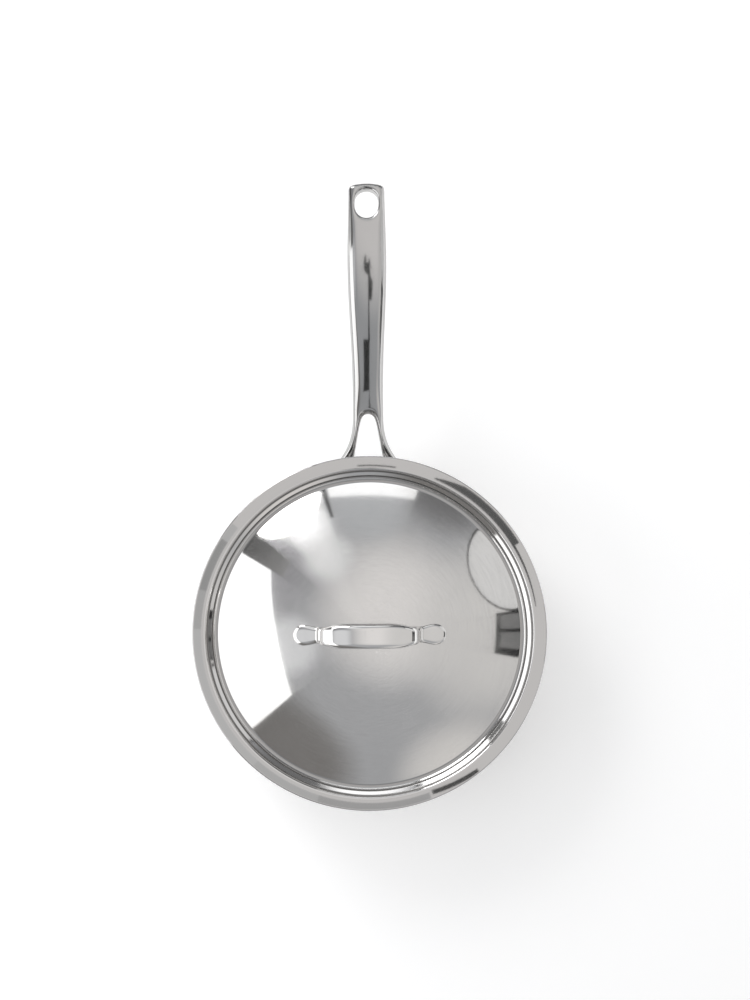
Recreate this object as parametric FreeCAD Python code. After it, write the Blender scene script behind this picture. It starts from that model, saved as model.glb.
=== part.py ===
import FreeCAD
import Part

import math
import os

# A covered saute pan: pressed steel bowl on a heat-spreading base, forked cast handle, domed lid.
# Millimetres, +Z up. The origin is the centre of the foot and the long handle points along +Y.

# Pan bowl
pan_bore = 240.0
pan_depth = 63.0
bowl_sheet = 1.0
floor_corner_radius = 16.0
rim_flare_radius = 5.0
rim_lip_width = 3.0

# Heat-spreading base
core_thickness = 5.0
cap_sheet = 0.8
cap_edge_radius = 2.5
core_clearance = 0.2

# Lid
lid_sheet = 0.8
lid_overhang = 2.3
lid_edge_inner_radius = 0.8
lid_edge_drop = 0.6
lid_seat_inset = 3.4
lid_shoulder_inner_radius = 1.2
lid_step_length = 0.6
lid_step_angle = 75.0
lid_ledge_bend_radius = 0.8
lid_ledge_width = 2.2
lid_ledge_angle = 18.0
lid_nose_inner_radius = 0.4
lid_skirt_length = 0.9
lid_groove_radius = 3.0
dome_edge_angle = 27.0

# Lid handle
grip_length = 111.4
grip_tongue_length = 17.7
grip_tongue_width = 15.8
grip_neck_width = 11.8
grip_bridge_end_inset = 5.0
grip_bridge_end_width = 12.6
grip_bridge_width = 17.4
grip_bridge_flat_share = 0.67
grip_tongue_thickness = 2.8
grip_bridge_thickness = 4.0
grip_finger_height = 25.0
grip_arch_radius = 105.0
grip_leg_lean = 7.0
grip_inner_bend_radius = 2.5
grip_foot_radius = 2.5
grip_edge_share = 0.3
weld_diameter = 5.0
weld_depth_share = 0.5
weld_spacing_share = 0.45

# Long handle, with lengths along it counted outward from the bowl's wall
handle_length = 205.0
handle_end_width = 26.4
handle_end_arc_radius = 44.0
handle_end_corner_radius = 3.2
handle_grip_width = 28.8
handle_grip_run = 147.0
handle_neck_width = 21.0
handle_neck_run = 34.0
handle_neck_length = 25.0
handle_flare_radius = 36.0
handle_flare_angle = 45.0
handle_root_lift = 4.0
handle_rise_angle = 24.0
handle_tip_angle = 3.0
handle_bend_run = 47.0
handle_root_thickness = 10.0
handle_neck_thickness = 8.0
handle_grip_thickness = 9.4
handle_end_thickness = 7.6
handle_edge_share = 0.6
fork_length = 40.0
fork_leg_width = 5.0
fork_angle = 10.5
fork_edge_share = 0.2
hole_margin = 4.3
hole_side_length = 3.2
hole_edge_share = 0.32

# Handle plate and rivets
plate_height = 34.0
plate_thickness = 3.0
plate_corner_radius = 9.0
plate_side_margin = 4.0
plate_rim_gap = 0.8
plate_edge_share = 0.27
plate_root_radius = 2.0
seat_clearance = 0.05
rivet_shank = 6.4
rivet_inner_head = 13.0
rivet_inner_height = 2.4
rivet_outer_head = 10.6
rivet_outer_height = 2.0
rivet_margin = 8.5

# Cutting solids run this far past what they cut, and edges are found to within this distance
overrun = 20.0
find_distance = 0.05
upright_share = 0.000001

# Levels and radii that follow from the sizes above
bore_radius = pan_bore / 2
wall_radius = bore_radius + bowl_sheet
floor_under = cap_sheet + core_thickness
floor_top = floor_under + bowl_sheet
rim_top = floor_top + pan_depth
flare_centre_radius = bore_radius + rim_flare_radius
lip_radius = flare_centre_radius + rim_lip_width
cap_radius = bore_radius - floor_corner_radius
lid_radius = lip_radius + lid_overhang
lid_top = rim_top + lid_sheet
lid_edge_radius = lid_edge_inner_radius + lid_sheet

# Places along the lid handle, from its middle outward
grip_half = grip_length / 2
grip_neck_reach = grip_half - grip_tongue_length
grip_bridge_end_reach = grip_neck_reach - grip_bridge_end_inset
grip_bridge_flat = grip_bridge_end_reach * grip_bridge_flat_share
grip_edge_radius = grip_bridge_thickness * grip_edge_share

# Places along the long handle, from the bowl's axis outward
handle_reach = wall_radius + handle_length
handle_grip_reach = wall_radius + handle_grip_run
handle_neck_near = wall_radius + handle_neck_run
handle_neck_far = handle_neck_near + handle_neck_length
handle_bend_reach = wall_radius + handle_bend_run
handle_edge_radius = hole_margin * handle_edge_share
fork_reach = wall_radius + fork_length
fork_tip_radius = handle_neck_width / 2 - fork_leg_width
fork_edge_radius = fork_leg_width * fork_edge_share
hole_width = handle_end_width - 2 * hole_margin
hole_length = hole_width + hole_side_length
hole_edge_radius = hole_margin * hole_edge_share

# Heights and sizes of the plate
plate_face_radius = wall_radius + seat_clearance + plate_thickness
plate_top = rim_top - rim_flare_radius - plate_rim_gap
plate_low = plate_top - plate_height
plate_edge_radius = plate_thickness * plate_edge_share
handle_root_height = (plate_top + plate_low) / 2 + handle_root_lift


def vec(x, y, z):
    return FreeCAD.Vector(x, y, z)


def across(x, z):
    return vec(x, 0, z)


def flat(x, y):
    return vec(x, y, 0)


def line(start, end):
    return Part.LineSegment(start, end).toShape()


def arc(start, middle, end):
    return Part.Arc(start, middle, end).toShape()


def bezier(poles):
    curve = Part.BezierCurve()
    curve.setPoles(poles)
    return curve.toShape()


def fair_curve(points):
    curve = Part.BSplineCurve()
    curve.interpolate(points)
    return curve.toShape()


def heading(degrees):
    return math.cos(math.radians(degrees)), math.sin(math.radians(degrees))


def trace(start, degrees, moves, offset):
    """Edges of a smooth path in the XZ plane, moved to the right of its travel by the offset."""
    x, z = start
    edges = []
    ends = []
    for radius, amount in moves:
        ahead_x, ahead_z = heading(degrees)
        first = across(x + offset * ahead_z, z - offset * ahead_x)
        if radius == 0:
            x += amount * ahead_x
            z += amount * ahead_z
            last = across(x + offset * ahead_z, z - offset * ahead_x)
            edges.append(line(first, last))
        else:
            side = math.copysign(1, amount)
            centre_x = x - side * radius * ahead_z
            centre_z = z + side * radius * ahead_x
            reach = side * radius + offset
            turned = []
            for share in (0.5, 1):
                turn_x, turn_z = heading(degrees + amount * share)
                turned.append(across(centre_x + reach * turn_z, centre_z - reach * turn_x))
            last = turned[1]
            edges.append(arc(first, turned[0], last))
            degrees += amount
            turn_x, turn_z = heading(degrees)
            x = centre_x + side * radius * turn_z
            z = centre_z - side * radius * turn_x
        ends.append(first)
        ends.append(last)
    return edges, ends[0], ends[-1]


def turned_sheet(start, degrees, moves, near, far):
    """Solid of revolution about Z of the sheet between two offsets of one path."""
    near_edges, near_start, near_end = trace(start, degrees, moves, near)
    far_edges, far_start, far_end = trace(start, degrees, moves, far)
    closing = [line(near_start, far_start), line(near_end, far_end)]
    outline = Part.Wire(Part.__sortEdges__(near_edges + far_edges + closing))
    return Part.Face(outline).revolve(vec(0, 0, 0), vec(0, 0, 1), 360)


def prism(edges, travel):
    outline = Part.Wire(Part.__sortEdges__(edges))
    return Part.Face(outline).extrude(travel)


def cylinder(radius, height, bottom):
    return Part.makeCylinder(radius, height, vec(0, 0, bottom), vec(0, 0, 1))


def bowl_path():
    wall = pan_depth - floor_corner_radius - rim_flare_radius
    return [
        (0, cap_radius),
        (floor_corner_radius, 90),
        (0, wall),
        (rim_flare_radius, -90),
        (0, rim_lip_width),
    ]


def make_bowl():
    bowl = turned_sheet((0, floor_top), 0, bowl_path(), 0, bowl_sheet)
    for x, z in rivet_places():
        bowl = bowl.cut(rivet_bore(x, z))
    return bowl


def make_core():
    radius = cap_radius - cap_sheet - core_clearance
    disc = cylinder(radius, core_thickness, cap_sheet)
    bend = cap_edge_radius - cap_sheet
    low = [edge for edge in disc.Edges if edge.BoundBox.ZMax < floor_under - bend]
    rims = [edge for edge in low if edge.BoundBox.XLength > radius]
    return disc.makeFillet(bend, rims)


def make_cap():
    flat_run = cap_radius - cap_edge_radius
    rise = floor_under - cap_edge_radius
    moves = [(0, flat_run), (cap_edge_radius, 90), (0, rise)]
    return turned_sheet((0, 0), 0, moves, 0, -cap_sheet)


def lid_path():
    shoulder_start = flare_centre_radius - lid_seat_inset
    flange = lid_radius - lid_edge_radius - shoulder_start
    moves = [
        (0, lid_edge_drop),
        (lid_edge_radius, 90),
        (0, flange),
        (lid_shoulder_inner_radius + lid_sheet, lid_step_angle),
        (0, lid_step_length),
        (lid_ledge_bend_radius, lid_ledge_angle - lid_step_angle),
        (0, lid_ledge_width),
        (lid_nose_inner_radius + lid_sheet, lid_step_angle - lid_ledge_angle),
        (0, lid_skirt_length),
        (lid_groove_radius, -lid_step_angle - dome_edge_angle),
    ]
    return moves


def lid_start():
    return lid_radius, lid_top - lid_edge_radius - lid_edge_drop


def dome():
    """Radius of the dome's sphere and the height of its centre."""
    edges, start, end = trace(lid_start(), 90, lid_path(), 0)
    radius = end.x / math.sin(math.radians(dome_edge_angle))
    return radius, end.z - radius * math.cos(math.radians(dome_edge_angle))


def make_lid():
    dome_radius, dome_centre = dome()
    moves = lid_path() + [(dome_radius, dome_edge_angle)]
    lid = turned_sheet(lid_start(), 90, moves, 0, -lid_sheet)
    for place in weld_places():
        lid = lid.cut(make_weld(place))
    return lid


def meet(start, direction, centre_z, radius):
    """Upper point where a line in the XZ plane meets a circle centred on the Z axis."""
    x, z = start
    along_x, along_z = direction
    half = x * along_x + (z - centre_z) * along_z
    rest = x * x + (z - centre_z) ** 2 - radius * radius
    travel = -half + math.sqrt(half * half - rest)
    return x + along_x * travel, z + along_z * travel


def grip_band():
    """Side outline of the lid handle, drawn out sideways, with its bends rounded."""
    dome_radius, dome_centre = dome()
    half = grip_half
    skin = dome_radius + grip_tongue_thickness
    low = dome_centre + math.sqrt(dome_radius ** 2 - half ** 2) - overrun
    top = dome_centre + dome_radius + grip_finger_height + grip_bridge_thickness
    arch_centre = top - grip_arch_radius
    under_radius = grip_arch_radius - grip_bridge_thickness
    lean = 90 + grip_leg_lean
    up = heading(lean)
    tip = half, dome_centre + math.sqrt(skin ** 2 - half ** 2)
    foot = grip_neck_reach, dome_centre + math.sqrt(skin ** 2 - grip_neck_reach ** 2)
    corner = meet(foot, up, arch_centre, grip_arch_radius)
    thick = grip_bridge_thickness / math.sin(math.radians(lean))
    inner_foot = foot[0] - thick, foot[1]
    inner_corner = meet(inner_foot, up, arch_centre, under_radius)
    drop = (foot[1] - low) / up[1]
    base = inner_foot[0] - up[0] * drop, low
    middle = (tip[0] + foot[0]) / 2
    skin_middle = middle, dome_centre + math.sqrt(skin ** 2 - middle ** 2)
    edges = []
    for side in (-1, 1):
        corners = [(half, low), tip, skin_middle, foot, corner, base, inner_corner]
        end, over, bulge, ankle, knee, sole, knee_in = [across(side * x, z) for x, z in corners]
        edges.append(line(end, over))
        edges.append(arc(over, bulge, ankle))
        edges.append(line(ankle, knee))
        edges.append(line(knee_in, sole))
        edges.append(line(sole, end))
    edges.append(arc(across(-corner[0], corner[1]), across(0, top), across(*corner)))
    under = top - grip_bridge_thickness
    edges.append(arc(across(-inner_corner[0], inner_corner[1]), across(0, under), across(*inner_corner)))
    band = prism(edges, vec(0, 2 * grip_bridge_width, 0))
    band.translate(vec(0, -grip_bridge_width, 0))
    bends = [
        (foot, grip_foot_radius),
        (corner, grip_inner_bend_radius + grip_bridge_thickness),
        (inner_corner, grip_inner_bend_radius),
    ]
    for place, radius in bends:
        folds = [edge for edge in band.Edges if runs_along_y(edge, place)]
        band = band.makeFillet(radius, folds)
    return band


def runs_along_y(edge, place):
    box = edge.BoundBox
    if box.YLength < grip_bridge_width:
        return False
    if abs(box.ZMin - place[1]) > find_distance:
        return False
    return abs(abs(box.XMin) - place[0]) < find_distance


def ease(near, far, side, hand):
    """Curve in the XY plane that leaves one point and reaches the next along X."""
    middle = (near[0] + far[0]) / 2
    poles = [near, (middle, near[1]), (middle, far[1]), far]
    return bezier([flat(side * x, hand * y) for x, y in poles])


def grip_plan():
    """Outline of the lid handle seen from above, as a tall block."""
    tongue = grip_tongue_width / 2
    bridge = grip_bridge_width / 2
    tongue_centre = grip_half - tongue
    stations = [
        (grip_bridge_flat, bridge),
        (grip_bridge_end_reach, grip_bridge_end_width / 2),
        (grip_neck_reach, grip_neck_width / 2),
        (tongue_centre, tongue),
    ]
    edges = []
    for side in (-1, 1):
        for hand in (-1, 1):
            for near, far in zip(stations, stations[1:]):
                edges.append(ease(near, far, side, hand))
        start = flat(side * tongue_centre, -tongue)
        end = flat(side * tongue_centre, tongue)
        edges.append(arc(start, flat(side * grip_half, 0), end))
    for hand in (-1, 1):
        edges.append(line(flat(-grip_bridge_flat, hand * bridge), flat(grip_bridge_flat, hand * bridge)))
    return prism(edges, vec(0, 0, lid_top + 2 * grip_finger_height + overrun))


def is_wall(face):
    start, end, low, high = face.ParameterRange
    normal = face.normalAt((start + end) / 2, (low + high) / 2)
    return abs(normal.z) < upright_share


def rim_edges(shape, chosen):
    """Edges between an upright face and a lying one, where the chosen test holds at their middle."""
    picked = []
    for edge in shape.Edges:
        sides = [is_wall(face) for face in shape.ancestorsOfType(edge, Part.Face)]
        middle = edge.valueAt((edge.FirstParameter + edge.LastParameter) / 2)
        if any(sides) and not all(sides) and chosen(middle):
            picked.append(edge)
    return picked


def make_grip():
    dome_radius, dome_centre = dome()
    ball = Part.makeSphere(dome_radius, vec(0, 0, dome_centre))
    grip = grip_band().common(grip_plan())
    grip = grip.makeFillet(grip_edge_radius, rim_edges(grip, above_tongues))
    grip = grip.cut(ball)
    for place in weld_places():
        grip = grip.cut(make_weld(place))
    return grip


def above_tongues(point):
    dome_radius, dome_centre = dome()
    return point.distanceToPoint(vec(0, 0, dome_centre)) > dome_radius + grip_tongue_thickness / 2


def weld_places():
    middle = grip_half - grip_tongue_length / 2
    apart = grip_tongue_length * weld_spacing_share / 2
    return [side * (middle + hand * apart) for side in (-1, 1) for hand in (-1, 1)]


def make_weld(x):
    """One fused spot that reaches a little way into the lid and into a tongue above it."""
    dome_radius, dome_centre = dome()
    depth = lid_sheet * weld_depth_share
    outward = vec(x, 0, math.sqrt(dome_radius ** 2 - x ** 2)) / dome_radius
    start = vec(0, 0, dome_centre) + outward * (dome_radius - depth)
    return Part.makeCylinder(weld_diameter / 2, 2 * depth, start, outward)


def spine_height(reach):
    """Height of the handle's middle line: a straight rise, then one arc that levels off."""
    rise = math.radians(handle_rise_angle)
    tip = math.radians(handle_tip_angle)
    if reach <= handle_bend_reach:
        return handle_root_height + (reach - wall_radius) * math.tan(rise)
    bend = handle_root_height + (handle_bend_reach - wall_radius) * math.tan(rise)
    radius = (handle_reach - handle_bend_reach) / (math.sin(rise) + math.sin(tip))
    along = handle_bend_reach + radius * math.sin(rise) - reach
    return bend - radius * math.cos(rise) + math.sqrt(radius ** 2 - along ** 2)


def handle_band():
    """Side outline of the handle, drawn out to both sides."""
    buried = wall_radius - overrun
    halfway = (handle_neck_far + handle_grip_reach) / 2
    late = (handle_grip_reach + handle_reach) / 2
    mean = (handle_neck_thickness + handle_grip_thickness) / 2
    slim = (handle_grip_thickness + handle_end_thickness) / 2
    stations = [
        (buried, handle_root_thickness),
        (wall_radius, handle_root_thickness),
        (handle_neck_near, handle_neck_thickness),
        (handle_neck_far, handle_neck_thickness),
        (halfway, mean),
        (handle_grip_reach, handle_grip_thickness),
        (late, slim),
        (handle_reach + hole_margin, handle_end_thickness),
    ]
    upper = [vec(0, reach, spine_height(reach) + thick / 2) for reach, thick in stations]
    lower = [vec(0, reach, spine_height(reach) - thick / 2) for reach, thick in stations]
    edges = [fair_curve(upper), fair_curve(lower)]
    edges.append(line(upper[0], lower[0]))
    edges.append(line(upper[-1], lower[-1]))
    band = prism(edges, vec(2 * wall_radius, 0, 0))
    band.translate(vec(-wall_radius, 0, 0))
    return band


def flare_point(degrees):
    """Point on the round stretch where the neck's side swings out into the fork's leg."""
    turn_x, turn_y = heading(degrees)
    side = handle_neck_width / 2 + handle_flare_radius * (1 - turn_x)
    return side, handle_neck_near - handle_flare_radius * turn_y


def leg_end(travel):
    """Point on the outside of a leg, past the end of its round stretch."""
    across_share, along_share = heading(90 - handle_flare_angle)
    bell = flare_point(handle_flare_angle)
    return bell[0] + travel * across_share, bell[1] - travel * along_share


def leg_landing():
    """Half the fork's spread where the outside of its legs meets the plate."""
    bell = flare_point(handle_flare_angle)
    across_share, along_share = heading(90 - handle_flare_angle)
    half = bell[0] * across_share - bell[1] * along_share
    rest = bell[0] ** 2 + bell[1] ** 2 - plate_face_radius ** 2
    return leg_end(-half - math.sqrt(half * half - rest))[0]


def handle_side(hand):
    """One long side of the handle seen from above, from the buried root to the tip's corner."""
    neck = handle_neck_width / 2
    grip = handle_grip_width / 2
    end = handle_end_width / 2
    corner = tip_corner_reach()
    swell = (handle_grip_reach + handle_neck_far) / 2
    taper = (corner + handle_grip_reach) / 2
    root, bell, bow = [
        flat(hand * x, y)
        for x, y in (leg_end(overrun), flare_point(handle_flare_angle), flare_point(handle_flare_angle / 2))
    ]
    near = flat(hand * neck, handle_neck_near)
    far = flat(hand * neck, handle_neck_far)
    widest = flat(hand * grip, handle_grip_reach)
    last = flat(hand * end, corner)
    return [
        line(root, bell),
        arc(bell, bow, near),
        line(near, far),
        bezier([far, flat(hand * neck, swell), flat(hand * grip, swell), widest]),
        bezier([widest, flat(hand * grip, taper), flat(hand * end, taper), last]),
    ]


def tip_corner_reach():
    half = handle_end_width / 2
    return handle_reach - handle_end_arc_radius + math.sqrt(handle_end_arc_radius ** 2 - half ** 2)


def fork_mouth():
    """Block that fills the fork's opening, round at its far end and open toward the bowl."""
    side_x, side_y = heading(fork_angle)
    centre = fork_reach - fork_tip_radius
    touch = fork_tip_radius * side_x, centre + fork_tip_radius * side_y
    back = wall_radius - overrun
    wide = touch[0] + (touch[1] - back) * side_y / side_x
    edges = [
        arc(flat(-touch[0], touch[1]), flat(0, fork_reach), flat(touch[0], touch[1])),
        line(flat(touch[0], touch[1]), flat(wide, back)),
        line(flat(wide, back), flat(-wide, back)),
        line(flat(-wide, back), flat(-touch[0], touch[1])),
    ]
    return prism(edges, vec(0, 0, 2 * rim_top))


def hole_block():
    """Block that fills the hanging hole: two half rounds joined by straight sides."""
    half = hole_width / 2
    far = handle_reach - hole_margin - half
    near = far - hole_side_length
    edges = [
        arc(flat(-half, far), flat(0, far + half), flat(half, far)),
        line(flat(half, far), flat(half, near)),
        arc(flat(half, near), flat(0, near - half), flat(-half, near)),
        line(flat(-half, near), flat(-half, far)),
    ]
    return prism(edges, vec(0, 0, 2 * rim_top))


def handle_plan():
    """Outline of the handle seen from above, with its hole and fork, as a tall block."""
    half = handle_end_width / 2
    corner = tip_corner_reach()
    root = leg_end(overrun)
    edges = handle_side(-1) + handle_side(1)
    edges.append(arc(flat(-half, corner), flat(0, handle_reach), flat(half, corner)))
    edges.append(line(flat(-root[0], root[1]), flat(root[0], root[1])))
    plan = prism(edges, vec(0, 0, 2 * rim_top))
    plan = plan.makeFillet(handle_end_corner_radius, [edge for edge in plan.Edges if is_tip_corner(edge)])
    return plan.cut(fork_mouth()).cut(hole_block())


def is_tip_corner(edge):
    return edge.BoundBox.ZLength > rim_top and abs(edge.BoundBox.YMin - tip_corner_reach()) < find_distance


def in_fork(point):
    side_x, side_y = heading(fork_angle)
    mouth = fork_tip_radius / side_x + (fork_reach - fork_tip_radius - point.y) * side_y / side_x
    return point.y < fork_reach + find_distance and abs(point.x) < mouth + find_distance


def in_hole(point):
    near = handle_reach - hole_margin - hole_length - find_distance
    far = handle_reach - hole_margin + find_distance
    return near < point.y < far and abs(point.x) < hole_width / 2 + find_distance


def on_outside(point):
    return not in_fork(point) and not in_hole(point)


def make_plate():
    """Curved plate behind the fork, shaped to the bowl's wall."""
    half = plate_half_width()
    block = Part.makeBox(2 * half, wall_radius + overrun, plate_height, vec(-half, 0, plate_low))
    corners = [edge for edge in block.Edges if edge.BoundBox.YLength > wall_radius]
    block = block.makeFillet(plate_corner_radius, corners)
    ring = cylinder(plate_face_radius, plate_height, plate_low)
    ring = ring.cut(cylinder(wall_radius + seat_clearance, plate_height, plate_low))
    return block.common(ring)


def plate_half_width():
    return leg_landing() + plate_side_margin


def make_handle():
    handle = handle_band().common(handle_plan())
    handle = handle.makeFillet(handle_edge_radius, rim_edges(handle, on_outside))
    handle = handle.makeFillet(hole_edge_radius, rim_edges(handle, in_hole))
    handle = handle.makeFillet(fork_edge_radius, rim_edges(handle, in_fork))
    handle = handle.cut(cylinder(wall_radius + seat_clearance, 2 * rim_top, 0))
    handle = handle.fuse(make_plate())
    handle = handle.makeFillet(plate_root_radius, plate_edges(handle, True))
    handle = handle.makeFillet(plate_edge_radius, plate_edges(handle, False))
    for x, z in rivet_places():
        handle = handle.cut(rivet_bore(x, z))
    return handle


def plate_edges(shape, at_root):
    """Edges on the plate's outer face, either around the fork's roots or around the plate."""
    margin = plate_edge_radius + plate_root_radius
    picked = []
    for edge in shape.Edges:
        middle = edge.valueAt((edge.FirstParameter + edge.LastParameter) / 2)
        if abs(math.hypot(middle.x, middle.y) - plate_face_radius) < find_distance:
            level = plate_low + margin < middle.z < plate_top - margin
            inside = abs(middle.x) < plate_half_width() - margin
            if (level and inside) == at_root:
                picked.append(edge)
    return picked


def rivet_places():
    side = plate_half_width() - rivet_margin
    low = plate_low + rivet_margin
    return [(-side, low), (side, low), (0, plate_top - rivet_margin)]


def radial(x):
    return vec(x, math.sqrt(wall_radius ** 2 - x ** 2), 0) / wall_radius


def rivet_bore(x, z):
    outward = radial(x)
    start = outward * (bore_radius - overrun) + vec(0, 0, z)
    return Part.makeCylinder(rivet_shank / 2 + seat_clearance, 2 * overrun, start, outward)


def head(radius, height, seat, outward):
    """Low domed head whose flat side runs on past its seat, ready to be cut to it."""
    up = vec(0, 0, 1)
    sink = seat - outward * (rivet_shank / 2)
    edge = seat + up * radius
    top = seat + outward * height
    ball = (radius ** 2 + height ** 2) / (2 * height)
    half_x, half_y = heading(math.degrees(math.asin(radius / ball)) / 2)
    bulge = top - outward * (ball - ball * half_x) + up * (ball * half_y)
    edges = [
        line(sink, sink + up * radius),
        line(sink + up * radius, edge),
        arc(edge, bulge, top),
        line(top, sink),
    ]
    outline = Part.Wire(Part.__sortEdges__(edges))
    return Part.Face(outline).revolve(seat, outward, 360)


def make_rivet(x, z):
    outward = radial(x)
    lift = vec(0, 0, z)
    inside = outward * bore_radius + lift
    outside = outward * plate_face_radius + lift
    inner = head(rivet_inner_head / 2, rivet_inner_height, inside, -outward)
    inner = inner.common(cylinder(bore_radius, 2 * rim_top, 0))
    outer = head(rivet_outer_head / 2, rivet_outer_height, outside, outward)
    outer = outer.cut(cylinder(plate_face_radius, 2 * rim_top, 0))
    length = plate_face_radius - bore_radius + (rivet_inner_height + rivet_outer_height) / 2
    shank = Part.makeCylinder(rivet_shank / 2, length, inside - outward * (rivet_inner_height / 2), outward)
    return inner.fuse(shank).fuse(outer)


def make_rivets():
    return Part.makeCompound([make_rivet(x, z) for x, z in rivet_places()])


def make_welds():
    return Part.makeCompound([make_weld(place) for place in weld_places()])


def build():
    os.makedirs("parts", exist_ok=True)
    nodes = {
        "pan_bowl": make_bowl(),
        "base_core": make_core(),
        "base_cap": make_cap(),
        "long_handle": make_handle(),
        "handle_rivets": make_rivets(),
        "lid_shell": make_lid(),
        "lid_handle": make_grip(),
        "lid_handle_welds": make_welds(),
    }
    for name, shape in nodes.items():
        shape.exportStep(os.path.join("parts", name + ".step"))
        print(name, len(shape.Solids), shape.isValid(), round(shape.Volume))


build()
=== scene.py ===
import math
from typing import NamedTuple

import bmesh
import bpy
from bpy.props import FloatProperty, FloatVectorProperty, IntProperty, PointerProperty
from mathutils import Matrix, Vector


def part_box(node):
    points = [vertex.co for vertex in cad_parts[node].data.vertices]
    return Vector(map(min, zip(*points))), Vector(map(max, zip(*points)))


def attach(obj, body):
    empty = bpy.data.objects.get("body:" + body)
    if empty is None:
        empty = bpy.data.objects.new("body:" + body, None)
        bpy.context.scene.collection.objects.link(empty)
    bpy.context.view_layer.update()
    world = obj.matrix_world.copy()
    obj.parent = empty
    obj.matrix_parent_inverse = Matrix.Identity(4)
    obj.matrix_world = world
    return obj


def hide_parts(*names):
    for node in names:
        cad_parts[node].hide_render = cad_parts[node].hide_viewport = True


bl_info = {
    "name": "Covered saute pan",
    "version": (1, 0, 0),
    "blender": (4, 5, 0),
    "location": "3D View > Sidebar > Cookware",
    "description": "Dresses a lidded saute pan in polished and satin steel around its fixed frame",
    "category": "Add Mesh",
}

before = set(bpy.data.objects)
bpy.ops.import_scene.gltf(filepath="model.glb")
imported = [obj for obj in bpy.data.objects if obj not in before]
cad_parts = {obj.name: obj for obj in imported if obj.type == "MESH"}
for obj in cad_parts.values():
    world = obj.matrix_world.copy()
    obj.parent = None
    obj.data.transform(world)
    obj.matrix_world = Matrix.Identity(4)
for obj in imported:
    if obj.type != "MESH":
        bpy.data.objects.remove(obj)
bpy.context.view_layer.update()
bowl_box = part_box("pan_bowl")
cap_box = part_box("base_cap")
lid_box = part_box("lid_shell")
grip_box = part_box("lid_handle")
handle_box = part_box("long_handle")

TINY = 0.000001


# Settings

def length(about, default):
    return FloatProperty(description=about, default=default, min=0.0, precision=5, unit="LENGTH")


def angle(about, degrees):
    return FloatProperty(description=about, default=math.radians(degrees), subtype="ANGLE")


def share(about, default):
    return FloatProperty(description=about, default=default, min=0.0, max=1.0, subtype="FACTOR")


def level(about, default):
    return FloatProperty(description=about, default=default, min=0.0)


def colour(about, default):
    return FloatVectorProperty(description=about, default=default, min=0.0, max=1.0, subtype="COLOR")


def labelled(kind):
    """Labels each setting of a group with its own name in plain words."""
    for name, setting in kind.__annotations__.items():
        setting.keywords["name"] = name.replace("_", " ").capitalize()
    return kind


@labelled
class CookwareBowl(bpy.types.PropertyGroup):
    """Sizes of the pressed bowl and the base under it."""

    sheet: length("Thickness of the bowl's steel", 0.001)
    floor_corner: length("Inside radius between floor and wall", 0.016)
    rim_flare: length("Radius of the bend at the pouring rim", 0.005)
    rim_lip: length("Width of the rim past its bend", 0.003)
    cap_sheet: length("Thickness of the steel cap under the base", 0.0008)
    cap_edge: length("Outside radius of the cap's lower edge", 0.0025)


@labelled
class CookwareLid(bpy.types.PropertyGroup):
    """Sizes of the pressed lid, from its edge inward."""

    sheet: length("Thickness of the lid's steel", 0.0008)
    edge: length("Outside radius of the lid's turned-down edge", 0.0009)
    edge_drop: length("Straight part of the turned-down edge", 0.0013)
    fall: angle("How far the flange slopes in toward the step", 1.67)
    seat: length("Radius at the inside of the flat flange", 0.1216)
    shoulder: length("Bend at the inside of the flange", 0.002)
    step_angle: angle("How steeply the first step falls", 75)
    ledge_bend: length("Hollow bend at the foot of the first step", 0.0012)
    ledge: length("Width of the ledge between the steps", 0.0032)
    ledge_angle: angle("How far the ledge slopes inward", 30.5)
    nose: length("Bend at the inside of the ledge", 0.0014483)
    drop_angle: angle("How steeply the second step falls", 69)
    groove: length("Hollow radius of the groove round the dome", 0.0036059)
    dome_angle: angle("Slope of the dome where it leaves the groove", 26.79)


@labelled
class CookwareGrip(bpy.types.PropertyGroup):
    """Sizes of the strap handle on the lid."""

    tongue_length: length("How far each fixing tongue reaches past the leg", 0.0177)
    tongue_width: length("Width of the rounded fixing tongues", 0.0158)
    tongue_thickness: length("Thickness of the fixing tongues", 0.0028)
    neck_width: length("Width where a leg meets its tongue", 0.0118)
    shoulder_width: length("Width at the ends of the bridge", 0.0126)
    bridge_inset: length("From the neck in to the end of the bridge", 0.005)
    bridge_width: length("Width in the middle of the bridge", 0.0174)
    bridge_thickness: length("Thickness of the bridge and legs", 0.004)
    arch: length("Radius of the bridge's gentle arch", 0.083)
    knee: length("Radius of the bend between leg and bridge", 0.007)
    foot: length("Radius of the bend between leg and tongue", 0.0036)
    lean: angle("How far the legs lean in toward the top", 7)


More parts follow.
